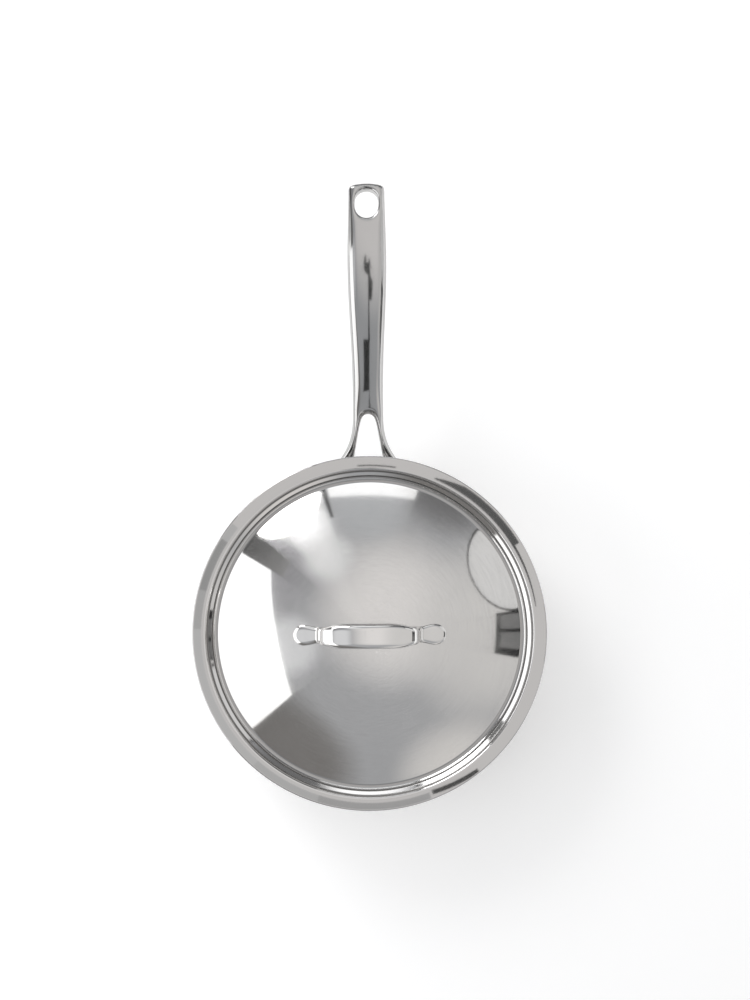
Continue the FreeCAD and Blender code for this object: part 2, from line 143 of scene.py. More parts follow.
@labelled
class CookwareHandle(bpy.types.PropertyGroup):
    """Sizes of the forked long handle and its plate."""

    wall: length("Outside radius of the bowl's wall", 0.121)
    end_width: length("Width at the arched end", 0.0264)
    end_arc: length("Radius of the arched end", 0.044)
    grip_width: length("Widest part of the grip", 0.0288)
    grip_run: length("From the wall to the widest part", 0.147)
    neck_width: length("Narrowest part of the handle", 0.0224)
    neck_run: length("From the wall to the near end of the neck", 0.034)
    neck_length: length("Length of the narrow part", 0.025)
    flare: length("Radius by which the fork's legs swing out", 0.042)
    flare_angle: angle("How far the legs swing out", 45)
    root_height: length("Height of the handle's middle line at the wall", 0.051)
    rise: angle("Slope of the handle from the wall", 24)
    droop: angle("Slope at the end, downward", 3)
    bend_run: length("From the wall to where the handle starts to level off", 0.047)
    root_thickness: length("Thickness at the fork's roots", 0.010)
    neck_thickness: length("Thickness at the neck", 0.008)
    grip_thickness: length("Thickness at the widest part", 0.0094)
    end_thickness: length("Thickness at the end", 0.0076)
    crown: length("How far the grip's top swells in its middle", 0.0012)
    shoulder: length("Width of the rounded shoulders", 0.0037)
    fork_length: length("From the wall to the crotch of the fork", 0.040)
    fork_leg: length("Width of each leg at the crotch", 0.0057)
    fork_angle: angle("Slope of the fork's inner sides", 10.5)
    hole_margin: length("Metal left round the hanging hole", 0.0049)
    hole_side: length("Straight sides of the hanging hole", 0.0032)
    hole_edge: length("Rounding of the hanging hole's edges", 0.0008)
    end_edge: length("Rounding of the handle's edges round the hole", 0.0025)
    end_lean: share("How far the sides of the hole lean with the drooping end", 0.36)
    tip: length("Extra reach that makes up for rounding at the end", 0.0006)
    plate_height: length("Height of the plate on the wall", 0.034)
    plate_thickness: length("Thickness of the plate", 0.003)
    rivet_margin: length("From the plate's edges to the rivets", 0.0085)
    rivet_outer: length("Radius of the rivet heads outside", 0.0053)
    rivet_inner: length("Radius of the rivet heads inside the bowl", 0.0065)
    rivet_rise: length("Height of the rivet heads", 0.002)


@labelled
class CookwareFinish(bpy.types.PropertyGroup):
    """Colours of the metals, and painted shade for the lid's groove and step creases."""

    lid: colour("Polished steel of the lid", (0.70, 0.69, 0.68))
    flange: colour("Darker polish of the lid's flange", (0.53, 0.525, 0.52))
    # Painted shade: this darker colour in the groove round the dome stands for shade in the hollow
    groove: colour("Duller steel in the groove round the dome", (0.38, 0.375, 0.37))
    # Painted shade: this dark colour in the step creases stands for shade in the pressed steps
    crease: colour("Dull steel in the creases of the lid's steps", (0.24, 0.235, 0.23))
    grip: colour("Mirror polished steel of the lid's handle", (0.73, 0.72, 0.71))
    handle: colour("Polished steel of the long handle", (0.54, 0.535, 0.53))
    bowl: colour("Satin steel of the bowl", (0.56, 0.552, 0.54))
    base: colour("Turned steel of the base cap", (0.62, 0.61, 0.60))
    core: colour("Aluminium inside the base", (0.80, 0.80, 0.81))
    weld: colour("Fused steel of the spot welds", (0.60, 0.59, 0.58))
    floor: colour("Pale floor under the pan", (0.86, 0.86, 0.86))


@labelled
class CookwareStage(bpy.types.PropertyGroup):
    """Camera and light."""

    height: length("Camera above the lid's flange", 1.9)
    across: length("Camera to the right of the bowl's axis", 0.004)
    along: length("Camera toward the long handle from the bowl's axis", 0.098)
    view: length("Length seen from top to bottom of the frame at the flange", 0.734)
    roll: angle("Turn of the camera about its line of sight", 0.4)
    near: length("From the bowl's axis to the large side light", 0.435)
    window: level("Brightness of the large side light", 1.45)
    softbox: level("Brightness of the round light", 6.0)
    panel: level("Brightness of the far panel", 1.12)
    room: level("Brightness of the soft light all round", 1.0)
    glow: level("How far the floor is lifted to white", 0.35)


class CookwareSettings(bpy.types.PropertyGroup):
    """All sizes, colours and light of the pan."""

    bowl: PointerProperty(type=CookwareBowl)
    lid: PointerProperty(type=CookwareLid)
    grip: PointerProperty(type=CookwareGrip)
    handle: PointerProperty(type=CookwareHandle)
    finish: PointerProperty(type=CookwareFinish)
    stage: PointerProperty(type=CookwareStage)
    turns: IntProperty(name="Turns", description="Steps round each turned piece", default=288, min=24)


# Meshes

ENDS = (0.0, 1.0)
GUARDED_ENDS = (0.0, 0.04, 0.96, 1.0)
LONG_RUN = 0.002
ARC_TURN = 0.11
ARC_RUN = 0.002
SHARP = math.radians(40)


def heading(radians):
    return math.cos(radians), math.sin(radians)


def walk(start, radians, moves, offset):
    """Points of a smooth path of radius and height, moved to the right of its travel by the offset."""
    across, up = start
    points = []
    for radius, amount in moves:
        ahead = heading(radians)
        if radius == 0:
            for part in GUARDED_ENDS if amount > LONG_RUN else ENDS:
                spot = across + amount * part * ahead[0], up + amount * part * ahead[1]
                points.append((spot[0] + offset * ahead[1], spot[1] - offset * ahead[0]))
            across, up = spot
        else:
            side = math.copysign(radius, amount)
            centre = across - side * ahead[1], up + side * ahead[0]
            steps = max(math.ceil(abs(amount) / ARC_TURN), math.ceil(radius * abs(amount) / ARC_RUN))
            for step in range(steps + 1):
                turn = heading(radians + amount * step / steps)
                points.append((centre[0] + (side + offset) * turn[1], centre[1] - (side + offset) * turn[0]))
            radians += amount
            turn = heading(radians)
            across = centre[0] + side * turn[1]
            up = centre[1] - side * turn[0]
    return points


def spaced(points):
    """The same points without repeats."""
    kept = []
    for point in points:
        if not kept or math.dist(point, kept[-1]) > TINY:
            kept.append(point)
    return kept


def turned(form, outline, turns, place=Matrix.Identity(4)):
    """Adds the surface that a closed outline of radius and height pairs makes when turned about Z."""
    rings = []
    for radius, height in outline:
        if radius < TINY:
            rings.append([form.verts.new(place @ Vector((0, 0, height)))])
            continue
        ring = []
        for step in range(turns):
            side = heading(2 * math.pi * step / turns)
            ring.append(form.verts.new(place @ Vector((radius * side[0], radius * side[1], height))))
        rings.append(ring)
    for first, second in zip(rings, rings[1:] + rings[:1]):
        for step in range(max(len(first), len(second))):
            later = step + 1
            corners = [first[step % len(first)], first[later % len(first)]]
            corners += [second[later % len(second)], second[step % len(second)]]
            corners = list(dict.fromkeys(corners))
            if len(corners) > 2:
                form.faces.new(corners)


def shell(start, radians, moves, sheet, turns):
    """Turned form of a sheet that has its thickness to the right of a path."""
    path = walk(start, radians, moves, 0)
    other = walk(start, radians, moves, sheet)
    form = bmesh.new()
    turned(form, spaced(path + other[::-1]), turns)
    return form


def slab(form, rows, gone, place, thick, rim, drop, crown):
    """Adds a closed sheet over a grid of points, with some cells left open and its edges rolled over."""
    cells = []
    for row in range(len(rows) - 1):
        for column in range(len(rows[0]) - 1):
            if (row, column) not in gone:
                cells.append([(row, column), (row, column + 1), (row + 1, column + 1), (row + 1, column)])
    edges = [(cell[k], cell[(k + 1) % 4]) for cell in cells for k in range(4)]
    known = set(edges)
    border = [edge for edge in edges if (edge[1], edge[0]) not in known]
    outward = {}
    for start, end in border:
        a = rows[start[0]][start[1]]
        b = rows[end[0]][end[1]]
        span = math.dist(a, b)
        normal = Vector(((b[1] - a[1]) / span, (a[0] - b[0]) / span))
        for corner in (start, end):
            outward.setdefault(corner, []).append(normal)
    top = {}
    low = {}
    upper = {}
    lower = {}
    for corner in {corner for cell in cells for corner in cell}:
        across, along = rows[corner[0]][corner[1]]
        half = thick(across, along) / 2
        inset = Vector((across, along))
        if corner in outward:
            first, second = outward[corner]
            inset -= (first + second) / (1 + first.dot(second)) * rim(across, along)
            wall = half - drop(across, along)
            upper[corner] = form.verts.new(place(across, along, wall))
            lower[corner] = form.verts.new(place(across, along, -wall))
        top[corner] = form.verts.new(place(inset.x, inset.y, half + crown(inset.x, inset.y)))
        low[corner] = form.verts.new(place(inset.x, inset.y, -half))
    for cell in cells:
        form.faces.new([top[corner] for corner in cell])
        form.faces.new([low[corner] for corner in reversed(cell)])
    for start, end in border:
        for inner, outer in ((top, upper), (upper, lower), (lower, low)):
            form.faces.new([inner[end], inner[start], outer[start], outer[end]])


def always(value):
    """A measure that is the same all over a slab."""

    def same(across, along):
        return value

    return same


def shown(name, data):
    """A new object in the scene."""
    made = bpy.data.objects.new(name, data)
    bpy.context.scene.collection.objects.link(made)
    return made


def piece(name, form, body, nodes, material, rounds=0):
    """Turns a built form into a piece that rides on a body in place of some nodes."""
    bmesh.ops.recalc_face_normals(form, faces=form.faces[:])
    mesh = bpy.data.meshes.new(name)
    form.to_mesh(mesh)
    form.free()
    mesh.materials.append(material)
    mesh.polygons.foreach_set("use_smooth", [True] * len(mesh.polygons))
    made = shown(name, mesh)
    if rounds:
        smooth = made.modifiers.new("Rounding", "SUBSURF")
        smooth.levels = rounds
        smooth.render_levels = rounds
    else:
        mesh.set_sharp_from_angle(angle=SHARP)
    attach(made, body)
    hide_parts(*nodes)


def refinish(node, material):
    """Gives a solid that stays as it is the finish of its metal."""
    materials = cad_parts[node].data.materials
    materials.clear()
    materials.append(material)


# Finishes

FLAT = (1, 1, 0)
LONG_LINES = (1, 0.012, 1)
UPWARD = (0, 0, 1)
ALONG = (0, 1, 0)
MIDDLE = 0.5
LINE_SPREAD = 5.0
PATCH_START = 0.35
PATCH_FULL = 0.7
DULLED = 0.93


class Polish(NamedTuple):
    """Fine lines of a metal, its roughness and the stretch of its highlights."""

    grain: str
    fineness: float
    depth: float
    clean: float
    dull: float
    lined: float
    stretch: float


POLISHES = {
    "bowl_steel": Polish("circular grain", 2200.0, 0.1, 0.15, 0.22, 0.08, 0.6),
    "base_steel": Polish("circular grain", 1500.0, 0.3, 0.26, 0.36, 0.1, 0.6),
    "core_aluminium": Polish("circular grain", 900.0, 0.2, 0.35, 0.5, 0.1, 0.0),
    "lid_steel": Polish("circular grain", 90000.0, 0.35, 0.05, 0.08, 0.02, 0.0),
    "lid_handle_steel": Polish("lengthwise grain", 1500.0, 0.01, 0.04, 0.07, 0.02, 0.0),
    "weld_steel": Polish("circular grain", 1200.0, 0.2, 0.4, 0.6, 0.1, 0.0),
    "handle_steel": Polish("lengthwise grain", 9000.0, 0.05, 0.06, 0.1, 0.04, 0.0),
    "rivet_steel": Polish("lengthwise grain", 1500.0, 0.03, 0.16, 0.24, 0.05, 0.0),
}


def put(tree, kind, settings=None, **inputs):
    """Adds a node; each input, by its name or by i and a number, is a value or an output socket."""
    made = tree.nodes.new(kind)
    for name, value in (settings or {}).items():
        setattr(made, name, value)
    for name, value in inputs.items():
        numbered = name[0] == "i" and name[1:].isdigit()
        socket = made.inputs[int(name[1:]) if numbered else name.replace("_", " ")]
        if isinstance(value, bpy.types.NodeSocket):
            tree.links.new(value, socket)
        else:
            socket.default_value = value
    return made


def worked(tree, kind, operation, values):
    numbered = {"i%d" % k: value for k, value in enumerate(values)}
    return put(tree, kind, {"operation": operation}, **numbered)


def sums(tree, operation, *values):
    return worked(tree, "ShaderNodeMath", operation, values).outputs[0]


def arrows(tree, operation, *values):
    made = worked(tree, "ShaderNodeVectorMath", operation, values)
    return made.outputs["Value" if operation in ("LENGTH", "DOT_PRODUCT") else "Vector"]


def ramp(tree, value, start, end, first=0.0, last=1.0, blend="LINEAR"):
    """A number that goes from the first to the last as a value goes from start to end."""
    spans = {"From_Min": start, "From_Max": end, "To_Min": first, "To_Max": last}
    return put(tree, "ShaderNodeMapRange", {"interpolation_type": blend}, Value=value, **spans).outputs[0]


def band(tree, value, middle, half):
    """One within half the width of a band, fading to zero at its edges."""
    away = sums(tree, "ABSOLUTE", sums(tree, "SUBTRACT", value, middle))
    return ramp(tree, away, half, half * 0.5)


def blended(tree, amount, first, second):
    """A colour that turns from the first to the second by an amount; each is a socket or a plain tint."""
    ends = [part if isinstance(part, bpy.types.NodeSocket) else (*part, 1.0) for part in (first, second)]
    return put(tree, "ShaderNodeMix", {"data_type": "RGBA"}, i0=amount, i6=ends[0], i7=ends[1]).outputs[2]


def object_place(tree):
    return tree.nodes.new("ShaderNodeTexCoord").outputs["Object"]


def effect(name, inputs, outputs):
    """An empty shader node group with named number inputs and named outputs."""
    tree = bpy.data.node_groups.new(name, "ShaderNodeTree")
    for label, default in inputs.items():
        socket = tree.interface.new_socket(name=label, in_out="INPUT", socket_type="NodeSocketFloat")
        socket.default_value = default
    for label, kind in outputs.items():
        tree.interface.new_socket(name=label, in_out="OUTPUT", socket_type=kind)
    return tree, tree.nodes.new("NodeGroupInput").outputs, tree.nodes.new("NodeGroupOutput").inputs


def tilted(tree, place, tangent, depth):
    """Fine lines over the surface: their pattern, and the normal that they tip across their run."""
    lines = put(tree, "ShaderNodeTexNoise", {"noise_dimensions": "3D"}, Vector=place, Scale=1.0, Detail=3.0)
    normal = tree.nodes.new("ShaderNodeNewGeometry").outputs["Normal"]
    across = arrows(tree, "CROSS_PRODUCT", normal, tangent)
    swing = sums(tree, "MULTIPLY", sums(tree, "SUBTRACT", lines.outputs["Fac"], MIDDLE), LINE_SPREAD)
    square = sums(tree, "MULTIPLY", swing, swing)
    rare = sums(tree, "MULTIPLY", sums(tree, "MULTIPLY", square, square), swing)
    pushed = arrows(tree, "SCALE", across)
    tree.links.new(sums(tree, "MULTIPLY", rare, depth), pushed.node.inputs["Scale"])
    return lines.outputs["Fac"], arrows(tree, "NORMALIZE", arrows(tree, "ADD", normal, pushed))


def around(tree, given):
    """Place and run of the fine rings left by turning and buffing about the Z axis."""
    here = object_place(tree)
    plane = arrows(tree, "MULTIPLY", here, FLAT)
    outward = arrows(tree, "NORMALIZE", plane)
    height = put(tree, "ShaderNodeSeparateXYZ", Vector=here).outputs["Z"]
    away = sums(tree, "ADD", arrows(tree, "LENGTH", plane), height)
    turn = put(tree, "ShaderNodeSeparateXYZ", Vector=outward).outputs
    place = put(
        tree,
        "ShaderNodeCombineXYZ",
        X=sums(tree, "MULTIPLY", away, given["Fineness"]),
        Y=sums(tree, "MULTIPLY", turn["X"], given["Breaks"]),
        Z=sums(tree, "MULTIPLY", turn["Y"], given["Breaks"]),
    )
    return place.outputs["Vector"], arrows(tree, "CROSS_PRODUCT", UPWARD, outward)


def lengthwise(tree, given):
    """Place and run of the fine lines left by polishing along the Y axis."""
    place = arrows(tree, "SCALE", arrows(tree, "MULTIPLY", object_place(tree), LONG_LINES))
    tree.links.new(given["Fineness"], place.node.inputs["Scale"])
    return place, ALONG


def grain(name, pattern, **extra):
    """Node group of fine lines that follow a pattern of place and run."""
    inputs = {"Fineness": 3000.0, "Depth": 0.1, **extra}
    tree, given, result = effect(name, inputs, {"Grain": "NodeSocketFloat", "Normal": "NodeSocketVector"})
    place, run = pattern(tree, given)
    spaces = {"convert_from": "OBJECT", "convert_to": "WORLD"}
    tangent = put(tree, "ShaderNodeVectorTransform", spaces, Vector=run).outputs["Vector"]
    lines, normal = tilted(tree, place, tangent, given["Depth"])
    tree.links.new(lines, result["Grain"])
    tree.links.new(normal, result["Normal"])


def handling_marks():
    """Node group of soft patches where hands and cloths have dulled the metal."""
    tree, given, result = effect(
        "handling marks",
        {"Size": 12.0, "Clean": 0.1, "Dull": 0.16, "Grain": 0.5, "Lined": 0.05},
        {"Roughness": "NodeSocketFloat", "Shade": "NodeSocketFloat"},
    )
    where = {"Vector": object_place(tree), "Scale": given["Size"]}
    cloud = put(tree, "ShaderNodeTexNoise", Detail=4.0, Roughness=0.6, **where)
    patch = ramp(tree, cloud.outputs["Fac"], PATCH_START, PATCH_FULL)
    rough = ramp(tree, patch, 0.0, 1.0, given["Clean"], given["Dull"])
    lined = sums(tree, "MULTIPLY", sums(tree, "SUBTRACT", given["Grain"], MIDDLE), given["Lined"])
    tree.links.new(sums(tree, "ADD", rough, lined), result["Roughness"])
    tree.links.new(patch, result["Shade"])


def make_groups():
    grain("circular grain", around, Breaks=90.0)
    grain("lengthwise grain", lengthwise)
    handling_marks()


def group(tree, name, **inputs):
    return put(tree, "ShaderNodeGroup", {"node_tree": bpy.data.node_groups[name]}, **inputs)


def metal(name, tint):
    """Metal with fine lines, handling marks and a highlight drawn out across the lines."""
    polish = POLISHES[name]
    made = bpy.data.materials.new(name)
    made.use_nodes = True
    tree = made.node_tree
    shader = tree.nodes["Principled BSDF"]
    lines = group(tree, polish.grain, Fineness=polish.fineness, Depth=polish.depth)
    lines.name = "lines"
    rough = {"Clean": polish.clean, "Dull": polish.dull, "Lined": polish.lined}
    marks = group(tree, "handling marks", Grain=lines.outputs["Grain"], **rough).outputs
    shader.inputs["Metallic"].default_value = 1.0
    shader.inputs["Anisotropic"].default_value = polish.stretch
    joins = {
        "Base Color": blended(tree, marks["Shade"], tint, [part * DULLED for part in tint]),
        "Roughness": marks["Roughness"],
        "Normal": lines.outputs["Normal"],
    }
    if polish.stretch:
        axis = "Z" if polish.grain == "circular grain" else "Y"
        run = put(tree, "ShaderNodeTangent", {"direction_type": "RADIAL", "axis": axis})
        joins["Tangent"] = run.outputs["Tangent"]
    for label, found in joins.items():
        tree.links.new(found, shader.inputs[label])
    return made


# Radius and half width of the lid's rougher bands, whose colour is darkened with painted shade
STEP_CREASE = (0.1192, 0.0008)
DROP_CREASE = (0.1158, 0.0007)
HOLLOW = (0.11245, 0.0015)
CREASE_ROUGHNESS = 0.3
HOLLOW_ROUGHNESS = 0.12
FLANGE_SMOOTHING = -0.8
SEAM = 0.0003
GROOVE_LINES = 0.001
LINES_FADE = 0.002
STREAK_FINENESS = 1300.0
STREAK_BREAKS = 6.0
STREAK_START = 0.4
STREAK_FULL = 0.7
STREAK_SHADE = 0.94


def lid_metal(lid, finish):
    """Faintly streaked dome, rougher creases and groove with painted shade, and a darker, finer flange."""
    made = metal("lid_steel", finish.lid)
    tree = made.node_tree
    shader = tree.nodes["Principled BSDF"]
    away = arrows(tree, "LENGTH", arrows(tree, "MULTIPLY", object_place(tree), FLAT))
    edge = dome(lid)[0] * math.sin(lid.dome_angle)
    depth = ramp(tree, away, edge - LINES_FADE, edge, POLISHES["lid_steel"].depth, GROOVE_LINES)
    tree.links.new(depth, tree.nodes["lines"].inputs["Depth"])
    flange_part = ramp(tree, away, lid.seat - SEAM, lid.seat + SEAM)
    creases = sums(tree, "MAXIMUM", band(tree, away, *STEP_CREASE), band(tree, away, *DROP_CREASE))
    hollow = band(tree, away, *HOLLOW)
    rough = shader.inputs["Roughness"].links[0].from_socket
    rough = sums(tree, "MULTIPLY", rough, sums(tree, "MULTIPLY_ADD", flange_part, FLANGE_SMOOTHING, 1.0))
    rough = sums(tree, "MULTIPLY_ADD", creases, CREASE_ROUGHNESS, rough)
    rough = sums(tree, "MULTIPLY_ADD", hollow, HOLLOW_ROUGHNESS, rough)
    tree.links.new(rough, shader.inputs["Roughness"])
    rings = group(tree, "circular grain", Fineness=STREAK_FINENESS, Breaks=STREAK_BREAKS)
    streaks = ramp(tree, rings.outputs["Grain"], STREAK_START, STREAK_FULL)
    tint = shader.inputs["Base Color"].links[0].from_socket
    tint = blended(tree, streaks, tint, [part * STREAK_SHADE for part in finish.lid])
    tint = blended(tree, flange_part, tint, finish.flange)
    # Painted shade darkens the groove round the dome
    tint = blended(tree, hollow, tint, finish.groove)
    # Painted shade darkens the step creases
    tree.links.new(blended(tree, creases, tint, finish.crease), shader.inputs["Base Color"])
    return made


# Pieces

INNER_COLUMNS = (1, 2)
ACROSS = (-1, -0.45, 0, 0.45, 1)
BEND_STEPS = 5
BRIDGE_STOPS = (0, 0.007, 0.014, 0.021, 0.026)
BRIDGE_FLAT = 0.67
GRIP_EDGE = 0.62
GRIP_DROP = 0.26
TONGUE_STEPS = 6
TONGUE_SPARE = 0.004
TONGUE_CLEAR = 0.002
TONGUE_SWELL = 1.045
TONGUE_SIDE = 60
TONGUE_END = (-30, -13, 0, 13, 30)
THIN_BEFORE = 0.002
THIN_AFTER = 0.003
HANDLE_DROP = 0.3
INNER_SHARE = 0.45
LEG_EDGE = 0.42
END_CROWN = 0.4
FLARE_STOPS = ((1.0, 0.0035), (0.67, 0.004), (0.33, 0.003))
FORK_SWELL = 1.05
FORK_SIDE = 57
FORK_CLEAR = 0.006
HOLE_SWELL = 1.068
HOLE_CLEAR = 0.007
PLATE_GAP = 0.00005
PLATE_EDGE = 0.4
PLATE_DROP = 0.3
PLATE_STOPS = (-1, -0.78, -0.4, 0, 0.4, 0.78, 1)
PLATE_LEVELS = (0, 0.2, 0.5, 0.8, 1)
HEAD_TURNS = 48
HEAD_STEPS = 12
HEAD_SINK = 0.6


def lid_edge(lid):
    return [(0, lid.edge_drop), (lid.edge, math.pi / 2 + lid.fall)]


def flange(lid):
    """Width of the flange's slope and the height of the turned edge outside it."""
    across, up = walk((0, 0), math.pi / 2, lid_edge(lid), 0)[-1]
    return lid_box[1].x + across - lid.seat, up


def lid_moves(lid):
    return lid_edge(lid) + [
        (0, flange(lid)[0] / math.cos(lid.fall)),
        (lid.shoulder, lid.step_angle - lid.fall),
        (lid.ledge_bend, lid.ledge_angle - lid.step_angle),
        (0, lid.ledge),
        (lid.nose, lid.drop_angle - lid.ledge_angle),
        (lid.groove, -lid.drop_angle - lid.dome_angle),
    ]


def lid_start(lid):
    wide, up = flange(lid)
    return lid_box[1].x, bowl_box[1].z + lid.sheet + wide * math.tan(lid.fall) - up


def dome(lid):
    """Radius of the dome's sphere and the height of its centre."""
    end = walk(lid_start(lid), math.pi / 2, lid_moves(lid), 0)[-1]
    radius = end[0] / math.sin(lid.dome_angle)
    return radius, end[1] - radius * math.cos(lid.dome_angle)


def meet(start, direction, centre, radius):
    """Upper point where a line in the XZ plane meets a circle centred on the Z axis."""
    half = start[0] * direction[0] + (start[1] - centre) * direction[1]
    rest = start[0] ** 2 + (start[1] - centre) ** 2 - radius ** 2
    travel = math.sqrt(half * half - rest) - half
    return start[0] + direction[0] * travel, start[1] + direction[1] * travel


def bent(before, corner, after, radius, steps):
    """Points of the arc that rounds a corner between two straight runs."""
    corner = Vector(corner)
    back = (Vector(before) - corner).normalized()
    on = (Vector(after) - corner).normalized()
    half = back.angle(on) / 2
    centre = corner + (back + on).normalized() * (radius / math.sin(half))
    first = corner + back * (radius / math.tan(half)) - centre
    last = corner + on * (radius / math.tan(half)) - centre
    turn = first.angle_signed(last)
    points = []
    for step in range(steps + 1):
        points.append(centre + Matrix.Rotation(-turn * step / steps, 2) @ first)
    return [tuple(point) for point in points]


def ease(value, low, high, start, end):
    part = min(max((value - low) / (high - low), 0.0), 1.0)
    return start + (end - start) * part * part * (3 - 2 * part)


class GripLine:
    """Middle line of the lid handle in the XZ plane, from the middle of the bridge to a tongue's end."""

    def __init__(self, grip, lid):
        ball, centre = dome(lid)
        self.half = grip_box[1].x
        self.neck = self.half - grip.tongue_length
        self.grip = grip
        arch_centre = grip_box[1].z - grip.arch
        arch = grip.arch - grip.bridge_thickness / 2
        skin = ball + grip.tongue_thickness / 2
        up = heading(math.pi / 2 + grip.lean)
        outer = self.neck, centre + math.sqrt((ball + grip.tongue_thickness) ** 2 - self.neck ** 2)
        start = outer[0] - grip.bridge_thickness / 2 / up[1], outer[1]
        foot = meet(start, up, centre, skin)
        knee = meet(foot, up, arch_centre, arch)
        bridge = [(x, arch_centre + math.sqrt(arch ** 2 - x ** 2)) for x in BRIDGE_STOPS]
        run = self.half + TONGUE_SPARE - foot[0]
        reach = [foot[0] + run * step / TONGUE_STEPS for step in range(1, TONGUE_STEPS + 1)]
        tongue = [(x, centre + math.sqrt(skin ** 2 - x ** 2)) for x in reach]
        knees = bent(bridge[-1], knee, foot, grip.knee, BEND_STEPS)
        feet = bent(knee, foot, tongue[0], grip.foot, BEND_STEPS)
        self.points = bridge + knees + feet + tongue[1:]
        self.along = [0.0]
        for first, second in zip(self.points, self.points[1:]):
            self.along.append(self.along[-1] + math.dist(first, second))
        self.normals = []
        for k in range(len(self.points)):
            first = self.points[max(k - 1, 0)]
            second = self.points[min(k + 1, len(self.points) - 1)]
            span = math.dist(first, second)
            self.normals.append(((first[1] - second[1]) / span, (second[0] - first[0]) / span))
        self.normals[0] = (0.0, 1.0)

    def at_reach(self, x):
        """Distance along the line at a given reach from the middle."""
        for k in range(len(self.points) - 1):
            first, second = self.points[k], self.points[k + 1]
            if first[0] <= x <= second[0]:
                part = (x - first[0]) / (second[0] - first[0])
                return self.along[k] + part * (self.along[k + 1] - self.along[k])
        raise ValueError("the lid handle's line does not reach that far")

    def place(self, across, along, rise):
        side = math.copysign(1, along)
        travel = abs(along)
        k = 0
        while k < len(self.along) - 2 and self.along[k + 1] < travel:
            k += 1
        part = (travel - self.along[k]) / (self.along[k + 1] - self.along[k])
        point = Vector(self.points[k]).lerp(Vector(self.points[k + 1]), part)
        normal = Vector(self.normals[k]).lerp(Vector(self.normals[k + 1]), part).normalized()
        point += normal * rise
        return Vector((side * point.x, across, point.y))

    def half_width(self, x):
        grip = self.grip
        bridge_end = self.neck - grip.bridge_inset
        flat = bridge_end * BRIDGE_FLAT
        centre = self.half - grip.tongue_width / 2
        if x < bridge_end:
            return ease(x, flat, bridge_end, grip.bridge_width, grip.shoulder_width) / 2
        if x < self.neck:
            return ease(x, bridge_end, self.neck, grip.shoulder_width, grip.neck_width) / 2
        return ease(x, self.neck, centre, grip.neck_width, grip.tongue_width) / 2

    def rows(self):
        """Grid of the handle seen flat: five points across at each stop along it."""
        radius = self.grip.tongue_width / 2
        centre = self.half - radius
        stops = []
        for k, point in enumerate(self.points):
            if point[0] < centre - TONGUE_CLEAR:
                stops.append((self.along[k], self.half_width(point[0])))
        stops.append((self.at_reach(centre), radius))
        side = []
        for travel, width in stops:
            side.append([(width * part, travel) for part in ACROSS])
        swell = TONGUE_SWELL * radius
        turn = heading(math.radians(TONGUE_SIDE))
        travel = self.at_reach(centre + swell * turn[0])
        side.append([(swell * turn[1] * part, travel) for part in ACROSS])
        last = []
        for degrees in TONGUE_END:
            turn = heading(math.radians(degrees))
            last.append((swell * turn[1], self.at_reach(centre + swell * turn[0])))
        side.append(last)
        mirrored = [[(across, -along) for across, along in row] for row in reversed(side[1:])]
        return mirrored + side

    def thick(self, across, along):
        grip = self.grip
        x = abs(self.place(0.0, along, 0.0).x)
        start = self.neck - THIN_BEFORE
        return ease(x, start, self.neck + THIN_AFTER, grip.bridge_thickness, grip.tongue_thickness)

    def drop(self, across, along):
        return self.thick(across, along) * GRIP_DROP


